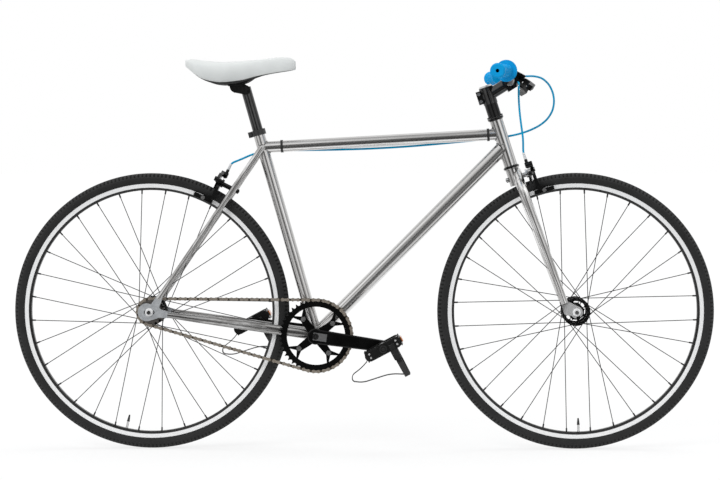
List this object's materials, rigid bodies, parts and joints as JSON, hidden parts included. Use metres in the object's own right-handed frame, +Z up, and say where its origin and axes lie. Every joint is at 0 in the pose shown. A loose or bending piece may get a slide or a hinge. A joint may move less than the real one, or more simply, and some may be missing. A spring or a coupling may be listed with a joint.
{
  "type": "fixed gear bicycle",
  "caption": "Fixed gear bicycle with a diamond frame of round steel tubes, laced wheels, chain drive, rim brakes, flat riser bar, padded saddle and toe-clip pedals.",
  "frame": {"origin": "on the ground in the centre plane, midway between the two axles", "axes": "+X forward, +Y towards the rider's left, +Z up"},
  "size_m": [1.7398, 0.5916, 0.9746],
  "materials": {
    "raw_steel": "brushed under clear lacquer",
    "black_alloy": "satin black",
    "rim_alloy": "black with a bare braking track",
    "plated_steel": "plated",
    "black_spokes": "black",
    "chain_steel": "oiled",
    "tyre_rubber": "matt",
    "tube_rubber": "matt",
    "blue_rubber": "matt",
    "blue_sheath": "gloss",
    "black_band": "matt",
    "saddle_cover": "smooth vinyl",
    "saddle_shell": "matt",
    "pedal_black": "matt, with an amber reflector at the rear",
    "clip_black": "matt"
  },
  "bodies": {
    "frame": {"bottom_bracket_shell": "raw_steel", "head_tube": "raw_steel", "seat_tube": "raw_steel", "top_tube": "raw_steel", "down_tube": "raw_steel", "rear_dropouts": "raw_steel", "chainstays": "raw_steel", "seatstays": "raw_steel", "stay_bridges": "raw_steel", "headset_cups": "black_alloy", "seat_clamp": "black_alloy", "rear_axle": "plated_steel", "chain": "chain_steel", "rear_brake_bolt": "plated_steel", "rear_brake_housing": "blue_sheath", "housing_bands": "black_band", "rear_brake_loop": "blue_sheath"},
    "steering": {"fork_steerer": "raw_steel", "fork_blades": "raw_steel", "headset_spacers": "black_alloy", "stem": "black_alloy", "stem_bolts": "plated_steel", "handlebar": "black_alloy", "grips": "blue_rubber", "front_axle": "plated_steel", "front_brake_bolt": "plated_steel", "lever_perches": "black_alloy", "front_brake_housing": "blue_sheath"},
    "front_wheel": {"front_tyre": "tyre_rubber", "front_rim": "rim_alloy", "front_inner_tube": "tube_rubber", "front_hub": "black_alloy", "front_spokes": "black_spokes"},
    "rear_wheel": {"rear_tyre": "tyre_rubber", "rear_rim": "rim_alloy", "rear_inner_tube": "tube_rubber", "rear_hub": "black_alloy", "rear_spokes": "black_spokes", "rear_cog": "plated_steel"},
    "crankset": {"chainring": "black_alloy", "chainring_bolts": "plated_steel", "right_crank": "black_alloy", "left_crank": "black_alloy", "bottom_bracket_spindle": "plated_steel", "pedal_spindles": "plated_steel"},
    "right_pedal": {"right_pedal": "pedal_black", "right_toe_clip": "clip_black"},
    "left_pedal": {"left_pedal": "pedal_black", "left_toe_clip": "clip_black"},
    "right_lever": {"right_brake_lever": "black_alloy"},
    "left_lever": {"left_brake_lever": "black_alloy"},
    "front_centre_arm": {"front_centre_arm": "black_alloy"},
    "front_side_arm": {"front_side_arm": "black_alloy"},
    "rear_centre_arm": {"rear_centre_arm": "black_alloy"},
    "rear_side_arm": {"rear_side_arm": "black_alloy"},
    "seat": {"seatpost": "black_alloy", "saddle_rails": "plated_steel", "saddle": "saddle_cover", "saddle_base": "saddle_shell"}
  },
  "joints": [
    {"name": "steering_turn", "type": "hinge", "parent": "frame", "child": "steering", "pos_m": [0.36965, 0, 0.69459], "axis": [-0.309, 0, 0.9511], "range_deg": [-75, 75], "deforming": ["rear_brake_loop"]},
    {"name": "front_wheel_spin", "type": "hinge", "parent": "steering", "child": "front_wheel", "pos_m": [0.527, 0, 0.343], "axis": [0, 1, 0], "continuous": true},
    {"name": "rear_wheel_spin", "type": "hinge", "parent": "frame", "child": "rear_wheel", "pos_m": [-0.527, 0, 0.343], "axis": [0, 1, 0], "continuous": true, "deforming": ["chain"]},
    {"name": "crank_spin", "type": "hinge", "parent": "frame", "child": "crankset", "pos_m": [-0.11603, 0, 0.2837], "axis": [0, 1, 0], "continuous": true, "deforming": ["chain"]},
    {"name": "right_pedal_spin", "type": "hinge", "parent": "crankset", "child": "right_pedal", "pos_m": [0.05223, -0.071, 0.25942], "axis": [0, 1, 0], "continuous": true},
    {"name": "left_pedal_spin", "type": "hinge", "parent": "crankset", "child": "left_pedal", "pos_m": [-0.28429, 0.071, 0.30798], "axis": [0, 1, 0], "continuous": true},
    {"name": "right_lever_pull", "type": "hinge", "parent": "steering", "child": "right_lever", "pos_m": [0.38626, -0.12945, 0.91692], "axis": [-0.4961, 0.1252, -0.8592], "range_deg": [0, 22], "stiffness_Nm_per_rad": 2, "springref_deg": -5.73},
    {"name": "left_lever_pull", "type": "hinge", "parent": "steering", "child": "left_lever", "pos_m": [0.38626, 0.12945, 0.91692], "axis": [0.4961, 0.1252, 0.8592], "range_deg": [0, 22], "stiffness_Nm_per_rad": 2, "springref_deg": -5.73},
    {"name": "front_centre_arm_turn", "type": "hinge", "parent": "steering", "child": "front_centre_arm", "pos_m": [0.41648, 0, 0.68638], "axis": [-0.9511, 0, -0.309], "range_deg": [0, 1.95]},
    {"name": "front_side_arm_turn", "type": "hinge", "parent": "steering", "child": "front_side_arm", "pos_m": [0.41463, 0.01798, 0.69209], "axis": [0.9511, 0, 0.309], "range_deg": [0, 1.74]},
    {"name": "rear_centre_arm_turn", "type": "hinge", "parent": "frame", "child": "rear_centre_arm", "pos_m": [-0.35933, 0, 0.66307], "axis": [0.8988, 0, -0.4384], "range_deg": [0, 1.95]},
    {"name": "rear_side_arm_turn", "type": "hinge", "parent": "frame", "child": "rear_side_arm", "pos_m": [-0.3567, -0.01798, 0.66846], "axis": [-0.8988, 0, 0.4384], "range_deg": [0, 1.74]},
    {"name": "seatpost_slide", "type": "slide", "parent": "frame", "child": "seat", "axis": [-0.2756, 0, 0.9613], "range_m": [-0.07, 0.05]}
  ],
  "couplings": [
    {"joint": "crank_spin", "follows": "rear_wheel_spin", "ratio": 0.36364},
    {"joint": "front_centre_arm_turn", "follows": "left_lever_pull", "ratio": 0.088635},
    {"joint": "front_side_arm_turn", "follows": "left_lever_pull", "ratio": 0.07909},
    {"joint": "rear_centre_arm_turn", "follows": "right_lever_pull", "ratio": 0.088635},
    {"joint": "rear_side_arm_turn", "follows": "right_lever_pull", "ratio": 0.07909}
  ]
}
